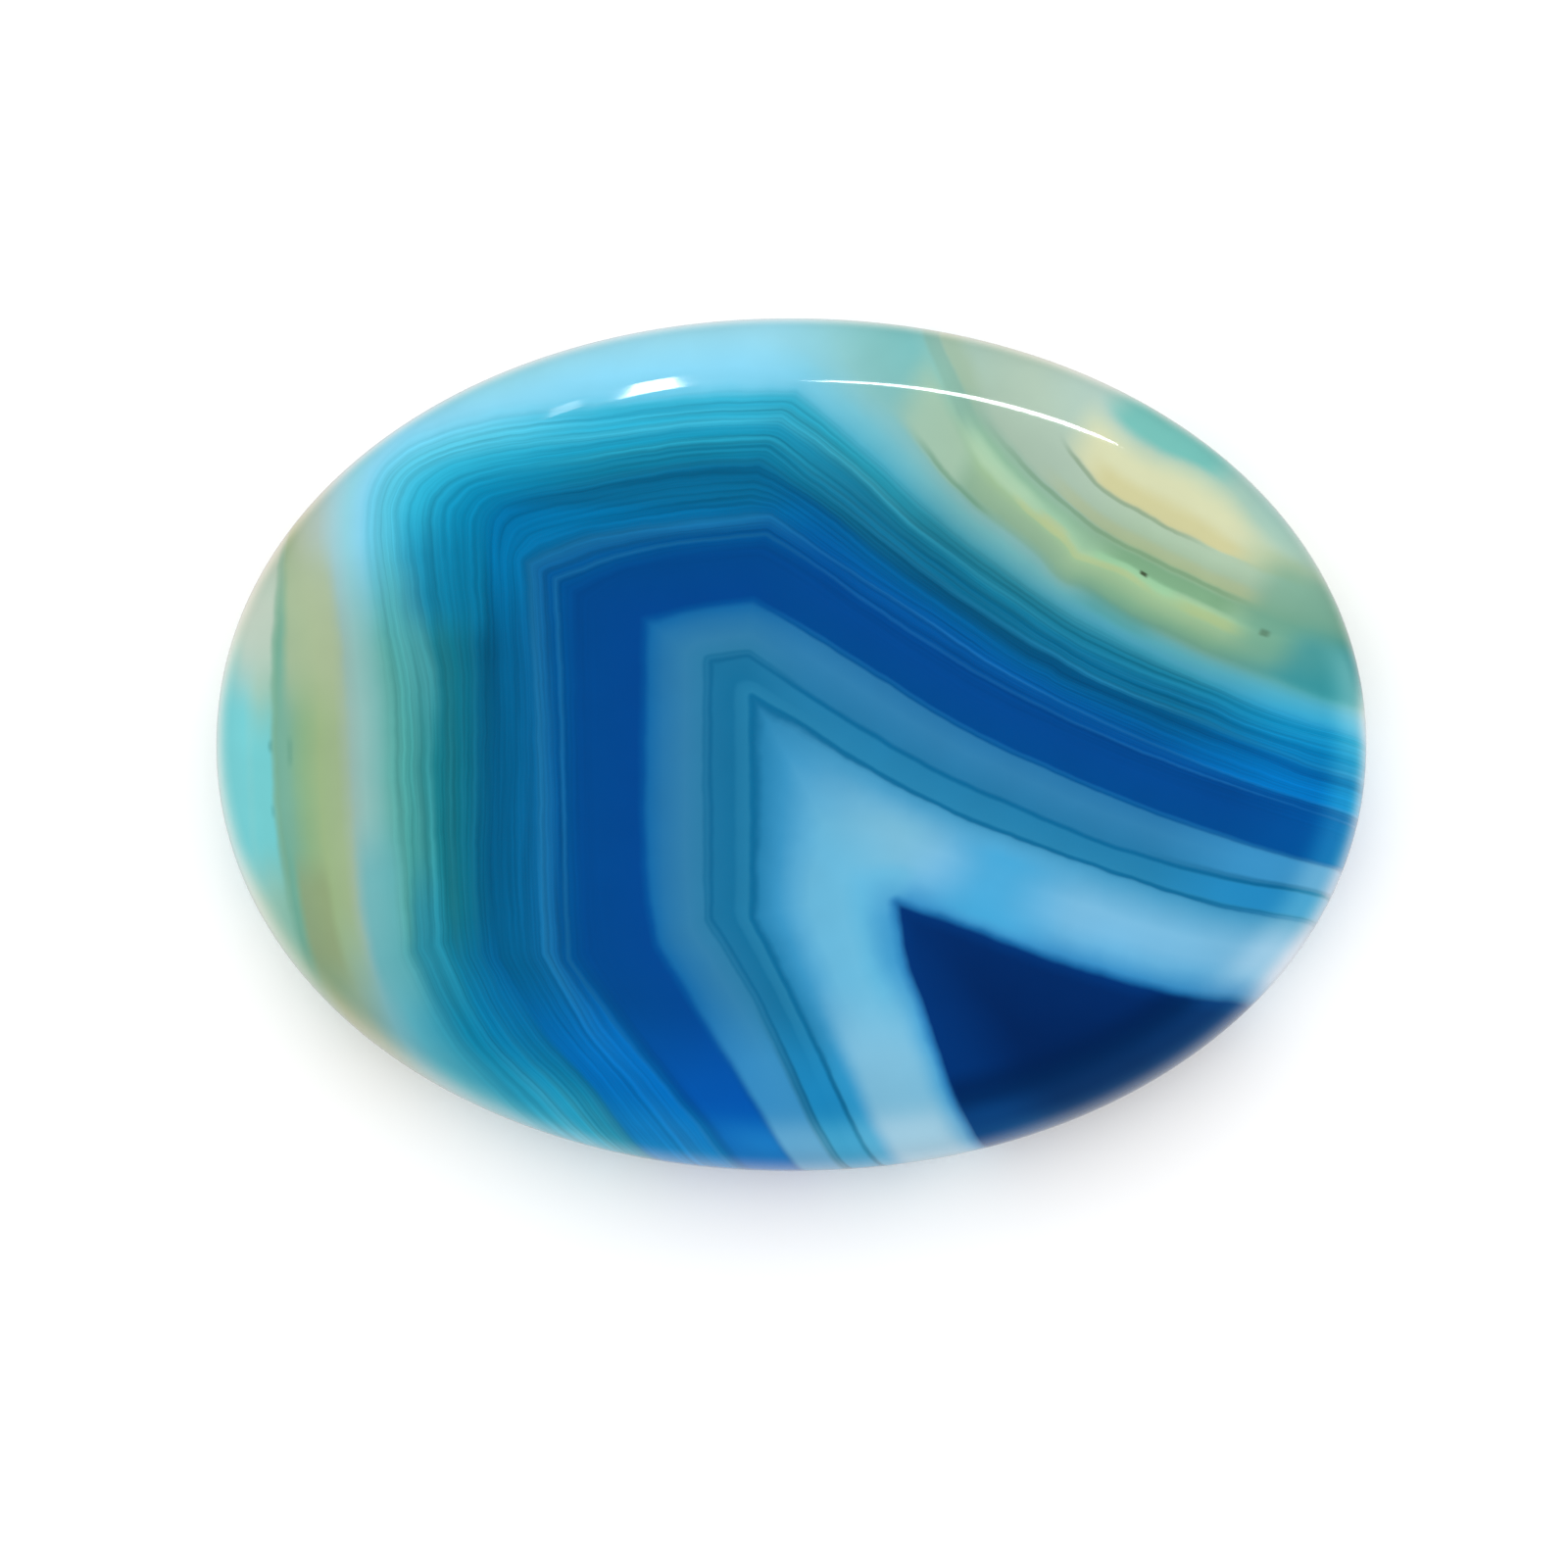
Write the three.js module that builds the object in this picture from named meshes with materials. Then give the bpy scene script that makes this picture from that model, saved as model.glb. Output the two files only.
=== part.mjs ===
// An agate worry stone: one oval of banded agate, polished all over. Its back is flat, its edge is
// rounded like a bolster, and its front is hollowed into a shallow dish for the thumb. The crest
// between dish and edge is the soft shoulder that runs round the front.
// Millimetres, +Z up. The origin is the middle of the flat back, on which the stone lies, +X runs
// along the oval's length and the dish faces +Z.
import * as THREE from "three";
import { mergeVertices } from "three/addons/utils/BufferGeometryUtils.js";

// Driving dimensions
const length = 45;
const width = 33.7;
const thickness = 7;
const dishDepth = 1.2; // from the crest down to the middle of the dish
const edgeReach = 3.8; // from the outline in to the crest
const backReach = 2.8; // from the outline in to the flat of the back
const beltHeight = 3.2; // where the stone is widest, above the back

// Shape exponents: 2 is a true ellipse, and more is squarer
const outlineSquareness = 2.05;
const edgeSquareness = 2.1;
const dishSoftness = 1.35; // 1 is a round-bottomed cut with a sharp rim, and more softens the rim

// Facets
const stepsAround = 96;
const dishRings = 12;
const shoulderRings = 10; // from the crest down to the belt
const undersideRings = 8; // from the belt down to the flat

const halfLength = length / 2;
const halfWidth = width / 2;

// How far a superellipse of unit half-axes reaches at an angle.
function reachAt(angle) {
  const x = Math.abs(Math.cos(angle)) ** outlineSquareness;
  const y = Math.abs(Math.sin(angle)) ** outlineSquareness;
  return (x + y) ** (-1 / outlineSquareness);
}

// A quarter of a superellipse as [across, up], both from 0 to 1. At turn 0 it is at its top, and at
// a quarter turn it is at its side.
function quarter(turn) {
  const power = 2 / edgeSquareness;
  return [Math.sin(turn) ** power, Math.cos(turn) ** power];
}

// The stone's section as rings, each an oval with its own half-length, half-width and height. They
// run from the middle of the back, round the edge, to the middle of the dish.
function sectionRings() {
  const ringInset = (inset, height) => ({
    halfLength: halfLength - inset,
    halfWidth: halfWidth - inset,
    height,
  });
  const rings = [];
  for (let i = 0; i <= undersideRings; i++) {
    const [across, up] = quarter((i / undersideRings) * (Math.PI / 2));
    rings.push(ringInset(backReach * (1 - across), beltHeight * (1 - up)));
  }
  for (let i = shoulderRings - 1; i >= 0; i--) {
    const [across, up] = quarter((i / shoulderRings) * (Math.PI / 2));
    rings.push(ringInset(edgeReach * (1 - across), beltHeight + (thickness - beltHeight) * up));
  }
  for (let i = dishRings - 1; i >= 1; i--) {
    const share = i / dishRings;
    rings.push({
      halfLength: share * (halfLength - edgeReach),
      halfWidth: share * (halfWidth - edgeReach),
      height: thickness - dishDepth * (1 - share ** 2) ** dishSoftness,
    });
  }
  return rings;
}

// Turns the section on a lathe with its lengthwise radii, then draws each ring in to its own oval.
function stoneGeometry() {
  const rings = sectionRings();
  const profile = [
    new THREE.Vector2(0, 0),
    ...rings.map((ring) => new THREE.Vector2(ring.halfLength, ring.height)),
    new THREE.Vector2(0, thickness - dishDepth),
  ];
  const turned = new THREE.LatheGeometry(profile, stepsAround);
  turned.rotateX(Math.PI / 2);
  const position = turned.getAttribute("position");
  for (let i = 0; i < position.count; i++) {
    const ring = rings[(i % profile.length) - 1];
    if (!ring) continue; // a point on the axis stays there
    const angle = (Math.floor(i / profile.length) / stepsAround) * Math.PI * 2;
    const reach = reachAt(angle);
    position.setXYZ(
      i,
      ring.halfLength * reach * Math.cos(angle),
      ring.halfWidth * reach * Math.sin(angle),
      ring.height,
    );
  }
  turned.deleteAttribute("normal");
  turned.deleteAttribute("uv");
  const joined = mergeVertices(turned, 1e-4);
  joined.computeVertexNormals();
  return joined;
}

const agate = new THREE.MeshStandardMaterial({
  color: new THREE.Color(0.1, 0.42, 0.66),
  roughness: 0.08,
  metalness: 0,
});

const part = new THREE.Group();
const stone = new THREE.Mesh(stoneGeometry(), agate);
stone.name = "worry_stone";
part.add(stone);

export default part;
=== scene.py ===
# An agate worry stone: one oval of blue-dyed banded agate, hollowed for the thumb and polished all
# over. It lies on its flat back with the dish up, and the camera looks down on its front.
# Metres, +Z up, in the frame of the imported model. The banding is measured in millimetres.
import math

import bpy
import numpy as np
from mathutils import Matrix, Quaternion, Vector


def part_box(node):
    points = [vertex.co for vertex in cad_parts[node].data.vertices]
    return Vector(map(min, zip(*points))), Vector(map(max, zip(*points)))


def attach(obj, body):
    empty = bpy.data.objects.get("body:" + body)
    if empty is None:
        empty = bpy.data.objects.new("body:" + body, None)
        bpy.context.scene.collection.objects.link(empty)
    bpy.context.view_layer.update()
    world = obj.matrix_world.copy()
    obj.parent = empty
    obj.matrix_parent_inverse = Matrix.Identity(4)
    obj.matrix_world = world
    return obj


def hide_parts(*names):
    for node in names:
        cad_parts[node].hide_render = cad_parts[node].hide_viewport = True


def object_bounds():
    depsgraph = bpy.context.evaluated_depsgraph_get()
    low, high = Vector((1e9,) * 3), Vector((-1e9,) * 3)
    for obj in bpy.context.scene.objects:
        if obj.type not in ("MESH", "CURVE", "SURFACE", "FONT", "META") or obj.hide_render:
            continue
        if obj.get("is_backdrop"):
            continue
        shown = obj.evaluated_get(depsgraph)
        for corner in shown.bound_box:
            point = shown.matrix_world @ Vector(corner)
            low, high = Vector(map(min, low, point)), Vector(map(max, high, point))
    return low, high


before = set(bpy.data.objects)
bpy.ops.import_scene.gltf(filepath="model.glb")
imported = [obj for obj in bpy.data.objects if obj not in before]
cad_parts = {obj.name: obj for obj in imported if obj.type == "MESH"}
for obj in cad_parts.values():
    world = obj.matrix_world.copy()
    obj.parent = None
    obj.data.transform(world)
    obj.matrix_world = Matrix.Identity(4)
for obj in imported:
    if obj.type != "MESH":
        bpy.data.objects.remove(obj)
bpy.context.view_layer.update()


# The camera
# It looks down on the front from 8.5 degrees off square, on the -Y side, through a long lens. The
# picture is a square, 61 mm wide where the stone is.
MM = 0.001
view_lean = math.radians(8.5)
picture_width = 61.27 * MM
aim = Vector((-0.287, -1.776, 3.5)) * MM
lens, sensor = 100, 36

camera_data = bpy.data.cameras.new("camera")
camera_data.lens = lens
camera_data.sensor_width = sensor
camera_data.clip_start = 10 * MM
camera = bpy.data.objects.new("camera", camera_data)
towards_camera = Vector((0, -math.sin(view_lean), math.cos(view_lean)))
camera.location = aim + towards_camera * picture_width * lens / sensor
camera.rotation_euler = (view_lean, 0, 0)
bpy.context.scene.collection.objects.link(camera)
bpy.context.scene.camera = camera


# The stone's form
# One oval of agate, sawn flat behind. Its edge is rounded like a bolster on a wheel, its front is
# ground into a shallow dish for the thumb, and all of it is tumbled until no edge is left.
low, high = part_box("worry_stone")
half_length, half_width, thickness = high.x / MM, high.y / MM, high.z / MM
dish_depth = 1.2
edge_reach = 3.8  # from the outline in to the crest that runs round the dish
back_reach = 2.8  # from the outline in to the flat of the back
belt_height = 3.2  # where the stone is widest
outline_squareness = 2.05
edge_squareness = 2.1
dish_softness = 1.35
steps_around = 600
dish_rings, shoulder_rings, underside_rings, back_rings = 104, 26, 16, 12


def oval_reach(angle, squareness):
    """How far a superellipse of unit half-axes reaches at an angle: the sum of |cos| and |sin|, each
    to the power of its squareness, to the power of minus one over the squareness."""
    powers = np.abs(np.cos(angle)) ** squareness + np.abs(np.sin(angle)) ** squareness
    return powers ** (-1 / squareness)


def rounded_quarter(rings, reach, height):
    """A quarter of a superellipse as insets from the outline and distances from the belt. The inset
    is reach times (1 - sin), and the distance is height times cos, sin and cos each to the power of
    2 over the squareness: both fall to 0 at the belt."""
    turn = np.linspace(0, math.pi / 2, rings + 1)
    power = 2 / edge_squareness
    return reach * (1 - np.sin(turn) ** power), height * np.cos(turn) ** power


def stone_rings():
    """The section as rings, from the dish's middle over the crest and belt to the back's middle.
    Each has a half-length, a half-width and a height. The dish's height is the thickness less its
    depth times (1 - share squared) to its softness, where share runs from 0 to 1 at the crest."""
    share = np.linspace(0, 1, dish_rings + 1)[1:-1]
    dish_height = thickness - dish_depth * (1 - share**2) ** dish_softness
    shoulder_inset, climb = rounded_quarter(shoulder_rings, edge_reach, thickness - belt_height)
    underside_inset, drop = rounded_quarter(underside_rings, back_reach, belt_height)
    inset = np.concatenate([shoulder_inset, underside_inset[-2::-1]])
    height = np.concatenate([belt_height + climb, (belt_height - drop)[-2::-1]])
    back_share = np.linspace(1, 0, back_rings + 1)[1:-1]
    ring_length = np.concatenate([
        share * (half_length - edge_reach),
        half_length - inset,
        back_share * (half_length - back_reach),
    ])
    ring_width = np.concatenate([
        share * (half_width - edge_reach),
        half_width - inset,
        back_share * (half_width - back_reach),
    ])
    ring_height = np.concatenate([dish_height, height, 0 * back_share])
    return ring_length, ring_width, ring_height


def stone_points():
    """Places on the stone in mm, ring by ring: each ring's half-axes times the oval's reach, turned
    through the angle. The dish's middle comes first and the back's middle comes last."""
    ring_length, ring_width, ring_height = stone_rings()
    angle = np.linspace(0, 2 * math.pi, steps_around, endpoint=False)
    reach = oval_reach(angle, outline_squareness)
    x = ring_length[:, None] * (reach * np.cos(angle))
    y = ring_width[:, None] * (reach * np.sin(angle))
    z = np.broadcast_to(ring_height[:, None], x.shape)
    around = np.stack([x, y, z], axis=-1).reshape(-1, 3)
    middles = np.array([[0, 0, thickness - dish_depth], [0, 0, 0]])
    return np.vstack([middles[:1], around, middles[1:]])


def nearness_to_rim():
    """For each point, 0 on the crest and inside it, and 1 on the outline: one less the ring's inset
    from the outline as a share of the rounded edge's reach."""
    ring_length, _, _ = stone_rings()
    nearness = np.clip(1 - (half_length - ring_length) / edge_reach, 0, 1)
    return np.concatenate([[0], np.repeat(nearness, steps_around), [0]])


def ring_faces(rings, steps):
    """Quads between neighbouring rings and a fan of triangles at each middle, all facing out."""
    step = np.arange(steps)
    after = (step + 1) % steps
    ring = 1 + np.arange(rings - 1)[:, None] * steps
    quads = np.stack([ring + step, ring + steps + step, ring + steps + after, ring + after], axis=-1)
    last = 1 + (rings - 1) * steps
    front = np.stack([0 * step, 1 + step, 1 + after], axis=-1)
    back = np.stack([0 * step + last + steps, last + after, last + step], axis=-1)
    return quads.reshape(-1, 4).tolist() + front.tolist() + back.tolist()


points = stone_points()
rings = (len(points) - 2) // steps_around
stone_mesh = bpy.data.meshes.new("worry_stone_polished")
stone_mesh.from_pydata((points * MM).tolist(), [], ring_faces(rings, steps_around))
stone_mesh.shade_smooth()
stone = bpy.data.objects.new("worry_stone_polished", stone_mesh)
bpy.context.scene.collection.objects.link(stone)


# The banding
# Agate grows inwards from the wall of a cavity, one thin sheet on the next, so its bands are nested
# walls that bend together round a last-filled core. Here the core lies low on the right.
# Each boundary gives its place on the ruler, which runs outwards from the core, and its walls, each
# starting where the one before it ends: the foot, the left, the top and the right. Two walls with a
# round corner between them are given as one.
sheet_lean = 0.32  # how far the sheets run towards +X for each millimetre below the crest
boundaries = [
    ("core", 0.0, [
        [(6.4, -16.6), (6.3, -15.3), (5.9, -13.9), (5.2, -11.6), (4.15, -8.9), (3.8, -6.8)],
        [(4.7, -7.1), (7.0, -7.9), (10.8, -9.3), (14.6, -10.3), (17.0, -10.4), (21.4, -10.4)],
    ]),
    ("inner dark line", 3.0, [
        [(2.5, -17.4), (2.25, -16.0), (1.4, -13.4), (-0.2, -10.2), (-1.7, -7.4)],
        [(-1.8, -2.7), (-1.9, 1.3)],
        [(0.0, 0.2), (2.3, -1.3), (5.4, -3.0), (8.5, -4.3), (13.2, -6.0), (16.4, -7.0),
         (19.3, -7.4), (22.2, -7.5)],
    ]),
    ("outer dark line", 4.6, [
        [(1.2, -17.6), (1.1, -16.3), (0.15, -13.45), (-1.55, -10.1), (-3.3, -7.4)],
        [(-3.5, -2.1), (-3.5, 2.7)],
        [(-2.0, 2.9)],
        [(0.0, 1.5), (2.2, 0.1), (5.3, -1.7), (8.4, -3.1), (12.2, -4.7), (16.8, -6.0),
         (19.9, -6.4), (22.2, -6.8)],
    ]),
    ("grey blue ends", 7.3, [
        [(-0.7, -17.6), (-0.9, -16.1), (-1.8, -14.1), (-3.4, -11.5), (-5.4, -8.4)],
        [(-5.9, -5.5), (-6.1, -1.3), (-6.0, 4.3)],
        [(-3.9, 4.8), (-1.8, 5.1)],
        [(0.1, 4.0), (3.1, 2.1), (6.1, 0.2), (10.0, -1.7), (14.6, -3.6), (19.2, -5.1),
         (22.2, -5.4)],
    ]),
    ("fine light line", 10.4, [
        [(-3.0, -17.6), (-3.6, -15.7), (-4.9, -13.8), (-6.5, -11.8), (-8.6, -9.0)],
        [(-8.9, -5.2), (-9.1, -0.7), (-9.3, 5.8)],
        [(-6.6, 6.8), (-4.1, 7.3), (-1.2, 7.6)],
        [(0.9, 6.2), (3.5, 4.3), (7.5, 1.8), (12.4, -0.6), (17.3, -2.5), (20.8, -3.6),
         (22.6, -3.9)],
    ]),
    ("its twin", 11.3, [
        [(-4.0, -17.6), (-4.7, -15.7), (-5.9, -13.8), (-7.6, -11.8), (-9.4, -8.8)],
        [(-9.7, -5.2), (-9.9, -0.7), (-10.3, 6.4)],
        [(-7.8, 7.4), (-4.7, 7.9), (-1.0, 8.3)],
        [(1.8, 6.3), (4.9, 4.3), (8.3, 2.0), (13.1, -0.4), (18.0, -2.4), (21.1, -3.2),
         (22.9, -3.5)],
    ]),
    ("dark line", 13.1, [
        [(-5.7, -17.6), (-6.7, -15.7), (-7.7, -13.8), (-9.4, -11.8), (-11.2, -9.0)],
        [(-11.6, -5.2), (-11.6, 1.7), (-11.65, 7.2), (-11.35, 8.3), (-10.6, 8.75), (-7.8, 9.3),
         (-4.3, 10.0), (-1.4, 10.2)],
        [(1.0, 8.7), (3.7, 6.4), (6.2, 4.6), (8.8, 2.8), (9.8, 2.3), (10.4, 1.9), (13.4, 0.6),
         (15.4, -0.3), (17.0, -0.9), (18.9, -1.7), (20.0, -2.1), (22.9, -2.6)],
    ]),
    ("light line", 14.0, [
        [(-6.4, -17.6), (-7.5, -15.7), (-8.6, -13.8), (-10.3, -11.9), (-12.0, -8.8)],
        [(-12.4, -5.2), (-12.5, 1.7), (-12.8, 7.2), (-12.55, 8.6), (-11.7, 9.25), (-8.2, 10.0),
         (-4.3, 10.7), (-1.0, 10.9)],
        [(0.2, 9.9), (2.3, 8.3), (5.0, 6.1), (6.8, 4.8), (9.1, 3.3), (10.0, 2.8), (10.8, 2.3),
         (11.7, 1.8), (13.5, 1.0), (15.6, 0.2), (17.2, -0.5), (19.1, -1.2), (20.2, -1.6),
         (23.0, -2.0)],
    ]),
    ("bright line", 15.7, [
        [(-7.6, -17.6), (-8.9, -15.6), (-10.1, -13.9), (-11.8, -12.0), (-13.5, -8.5)],
        [(-14.0, -2.2), (-14.2, 1.7), (-14.8, 4.2), (-15.2, 7.6), (-15.05, 9.1), (-14.2, 10.1),
         (-11.7, 10.9), (-7.2, 11.5), (-3.4, 12.0), (-0.4, 12.1)],
        [(1.0, 11.1), (2.9, 9.5), (4.4, 8.0), (5.9, 6.9), (7.3, 5.8), (8.6, 4.9), (9.5, 4.2),
         (10.4, 3.6), (11.2, 3.1), (12.5, 2.5), (13.9, 1.9), (16.0, 1.1), (17.6, 0.3),
         (19.6, -0.3), (23.1, -0.9)],
    ]),
    ("teal ends", 17.1, [
        [(-8.7, -17.6), (-10.6, -15.7), (-11.9, -14.0), (-13.4, -12.1), (-14.9, -8.9)],
        [(-15.5, -2.2), (-15.6, 0.8), (-16.1, 4.6), (-16.5, 8.0), (-16.3, 9.8), (-15.6, 10.8),
         (-14.5, 11.4), (-11.7, 12.1), (-7.2, 12.6), (-3.4, 13.0), (0.2, 13.1)],
        [(1.4, 12.1), (3.3, 10.4), (5.8, 8.0), (7.6, 6.6), (9.9, 4.9), (12.3, 3.5), (14.3, 2.5),
         (16.3, 1.6), (18.3, 0.7), (20.4, 0.0), (23.1, -0.3)],
    ]),
    ("pale blue ends", 19.2, [
        [(-10.6, -17.6), (-12.9, -15.7), (-14.6, -13.6), (-15.7, -11.4), (-16.7, -7.2)],
        [(-17.2, -2.2), (-17.5, 1.6), (-17.9, 5.4), (-19.0, 10.9), (-19.2, 14.2)],
        [(-9.7, 17.2), (-0.6, 18.0)],
        [(1.5, 15.6), (2.7, 13.7), (4.3, 12.0), (5.7, 10.1), (7.2, 8.6), (8.4, 7.7), (9.5, 6.75),
         (10.0, 6.1), (10.5, 5.7), (11.1, 5.5), (12.0, 4.95), (13.0, 4.3), (14.2, 3.75),
         (15.8, 2.95), (17.8, 2.15), (20.4, 1.2), (23.1, 0.8)],
    ]),
    ("yellow green line", 20.5, [
        [(-12.1, -17.6), (-14.4, -15.7), (-16.3, -13.6), (-17.3, -11.1), (-17.9, -7.2)],
        [(-18.4, -2.3), (-18.5, 1.5), (-18.9, 5.4), (-20.3, 10.9), (-20.6, 18.0)],
        [(-9.3, 20.0), (2.0, 20.5)],
        [(4.6, 15.7), (5.7, 13.5), (7.0, 10.7), (8.6, 8.9), (9.7, 7.9), (10.6, 7.1), (10.9, 6.65),
         (11.7, 6.4), (12.8, 5.95), (13.9, 5.2), (15.1, 4.65), (16.2, 4.15), (18.4, 3.25),
         (23.2, 2.4)],
    ]),
    ("moss line", 21.8, [
        [(-13.6, -17.6), (-15.9, -15.7), (-17.8, -13.2), (-19.1, -9.8), (-19.4, -6.0)],
        [(-19.7, -2.3), (-19.8, 1.5), (-20.0, 5.8), (-20.9, 11.2), (-21.1, 20.0)],
        [(-9.3, 22.1), (3.2, 22.1)],
        [(4.9, 16.8), (6.7, 13.4), (7.6, 11.8), (9.2, 9.9), (11.3, 8.0), (12.7, 7.1),
         (14.7, 6.1), (16.7, 5.1), (19.6, 3.9), (23.2, 3.4)],
    ]),
    ("under the cream", 23.4, [
        [(-15.5, -17.6), (-17.8, -15.1), (-20.2, -11.7), (-21.6, -7.9), (-22.0, -4.3)],
        [(-21.9, -1.4), (-22.2, 2.6), (-22.5, 7.7), (-22.6, 14.0), (-22.7, 22.9)],
        [(-9.4, 24.9), (6.4, 24.9)],
        [(8.2, 16.8), (9.9, 12.6), (10.5, 11.1), (11.2, 10.1), (11.9, 9.3), (12.7, 8.7),
         (13.6, 8.2), (15.2, 7.3), (17.2, 6.4), (20.1, 5.5), (23.2, 4.7)],
    ]),
    ("over the cream", 25.2, [
        [(-17.0, -17.6), (-19.7, -14.4), (-21.9, -11.3), (-23.8, -7.5), (-24.9, -4.0)],
        [(-25.1, -0.9), (-25.2, 3.0), (-25.1, 7.7), (-25.0, 14.0), (-25.1, 26.1)],
        [(-9.4, 27.8), (8.7, 27.8)],
        [(10.2, 16.8), (12.0, 12.6), (13.9, 10.9), (15.4, 10.3), (16.9, 9.3), (18.0, 7.9),
         (19.8, 6.7), (23.2, 5.7)],
    ]),
    ("beyond", 28.0, [
        [(-20.4, -17.6), (-23.1, -14.4), (-25.5, -10.6), (-27.1, -7.1), (-27.9, -3.6)],
        [(-28.2, -0.9), (-28.3, 3.0), (-28.2, 7.7), (-28.2, 14.0), (-28.3, 28.6)],
        [(-9.4, 30.2), (11.5, 30.2)],
        [(12.9, 17.2), (13.9, 14.4), (15.6, 12.8), (17.5, 11.2), (19.4, 9.5), (21.7, 7.7),
         (24.8, 6.1)],
    ]),
]


def smooth_wall(marks, pieces=5):
    """A Catmull-Rom curve through a wall's marks: between two marks, the cubic whose slope at each
    is half the step from the mark before it to the mark after it."""
    marks = np.array(marks, float)
    held = np.vstack([2 * marks[0] - marks[1], marks, 2 * marks[-1] - marks[-2]])
    before, here, there, after = held[:-3, None], held[1:-2, None], held[2:-1, None], held[3:, None]
    t = np.linspace(0, 1, pieces, endpoint=False)[None, :, None]
    curve = here + 0.5 * t * (there - before)
    curve = curve + t**2 * (before - 2.5 * here + 2 * there - 0.5 * after)
    curve = curve + t**3 * (1.5 * (here - there) + 0.5 * (after - before))
    return np.vstack([curve.reshape(-1, 2), marks[-1:]])


def boundary_curve(walls):
    """A boundary's walls as one line, each wall smooth and each corner sharp."""
    line = smooth_wall(walls[0])
    for wall in walls[1:]:
        line = np.vstack([line[:-1], smooth_wall([tuple(line[-1]), *wall])])
    return line


def distance_outside(line, x, y):
    """Distance of each place from a boundary, positive away from the core and negative towards it.
    The nearest point of each stretch gives the distance. The sign counts how often a ray to the
    right crosses the boundary, closed far below the core."""
    nearest = np.full(x.shape, np.inf)
    crossings = np.zeros(x.shape, int)
    far_below = -60.0
    closed = np.vstack([line, [(line[-1, 0], far_below), (line[0, 0], far_below), line[0]]])
    for i, ((ax, ay), (bx, by)) in enumerate(zip(closed[:-1], closed[1:])):
        dx, dy = bx - ax, by - ay
        if i < len(line) - 1:
            along = np.clip(((x - ax) * dx + (y - ay) * dy) / (dx * dx + dy * dy), 0, 1)
            nearest = np.minimum(nearest, (x - ax - along * dx) ** 2 + (y - ay - along * dy) ** 2)
        if dy:
            crossings += ((ay > y) != (by > y)) & (x < ax + (y - ay) * dx / dy)
    inside = crossings % 2 == 1
    return np.where(inside, -1, 1) * np.sqrt(nearest)


def place_on_ruler(x, y):
    """How far out from the core each place lies, on the boundaries' ruler. Between two boundaries
    the ruler is shared out by the distances to both, and past the first and last it is their own."""
    marks = np.array([mark for _, mark, _ in boundaries])
    outside = np.array([distance_outside(boundary_curve(walls), x, y) for _, _, walls in boundaries])
    passed = np.clip(np.cumprod(outside > 0, axis=0).sum(axis=0) - 1, 0, len(marks) - 2)
    inner = np.take_along_axis(outside, passed[None], axis=0)[0]
    outer = np.take_along_axis(outside, passed[None] + 1, axis=0)[0]
    share = inner / np.maximum(inner - outer, 1e-6)
    shared = marks[passed] + (marks[passed + 1] - marks[passed]) * np.clip(share, 0, 1)
    return np.where(outside[0] < 0, marks[0] + outside[0], shared)


bed_x = points[:, 0] - sheet_lean * (thickness - points[:, 2])
bed_y = points[:, 1]
ruler = place_on_ruler(bed_x, bed_y)
bedding = stone_mesh.attributes.new("bedding", "FLOAT_VECTOR", "POINT")
bedding.data.foreach_set("vector", np.stack([bed_x, bed_y, ruler], axis=1).ravel())
rim = stone_mesh.attributes.new("rim", "FLOAT", "POINT")
rim.data.foreach_set("value", nearness_to_rim())


# The agate
# Chalcedony takes dye band by band: dense sheets stay milky, porous ones turn sky blue, teal or a
# deep blue. Light goes a little way in, so the rim is paler than the dish: that paler rim is painted
# into the colour as painted glow, and at the outline as painted reflection too. The tumbled surface
# has the gloss of wet glass.
agate = bpy.data.materials.new("banded_agate")
agate.use_nodes = True
tree = agate.node_tree
tree.nodes.clear()
full_light = 1.25  # how bright pure white is under the lamps


def add(kind, inputs=None, **settings):
    """Adds a shader node with its settings. Each input is a value or another node's output."""
    made = tree.nodes.new("ShaderNode" + kind)
    for name, value in settings.items():
        setattr(made, name, value)
    for name, value in (inputs or {}).items():
        if isinstance(value, bpy.types.NodeSocket):
            tree.links.new(value, made.inputs[name])
        else:
            made.inputs[name].default_value = value
    return made


def dyed(red, green, blue):
    """A colour given as the eye reads it under the lamps, 0 to 255, as the share of light that the
    stone sends back."""
    seen = np.array([red, green, blue]) / 255
    light = np.where(seen > 0.04045, ((seen + 0.055) / 1.055) ** 2.4, seen / 12.92)
    return (*(light / full_light).tolist(), 1.0)


def band_colours(stops):
    """The colours met along the ruler: each stop is a place on it and the colour there, and between
    two stops the one colour runs into the other."""
    start, end = stops[0][0], stops[-1][0]
    share = add("MapRange", {"Value": ruler_out, "From Min": start, "From Max": end})
    made = add("ValToRGB", {"Fac": share.outputs["Result"]})
    elements = made.color_ramp.elements
    for element, (mark, colour) in zip(elements, (stops[0], stops[-1])):
        element.position = (mark - start) / (end - start)
        element.color = dyed(*colour)
    for mark, colour in stops[1:-1]:
        elements.new((mark - start) / (end - start)).color = dyed(*colour)
    return made.outputs["Color"]


def blend(first, second, share):
    """Two colours mixed: the first where the share is 0 and the second where it is 1."""
    made = add("Mix", {"Factor": share}, data_type="RGBA")
    for socket, colour in ((made.inputs[6], first), (made.inputs[7], second)):
        if isinstance(colour, bpy.types.NodeSocket):
            tree.links.new(colour, socket)
        else:
            socket.default_value = colour
    return made.outputs[2]


def math_node(operation, first, second=0.0, third=0.0):
    """One step of arithmetic, named as the shader names it, on one, two or three values."""
    return add("Math", {0: first, 1: second, 2: third}, operation=operation).outputs[0]


def rise(value, start, end):
    """0 before start and 1 after end, with a smooth step between."""
    limits = {"Value": value, "From Min": start, "From Max": end}
    return add("MapRange", limits, interpolation_type="SMOOTHSTEP").outputs["Result"]


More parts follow.
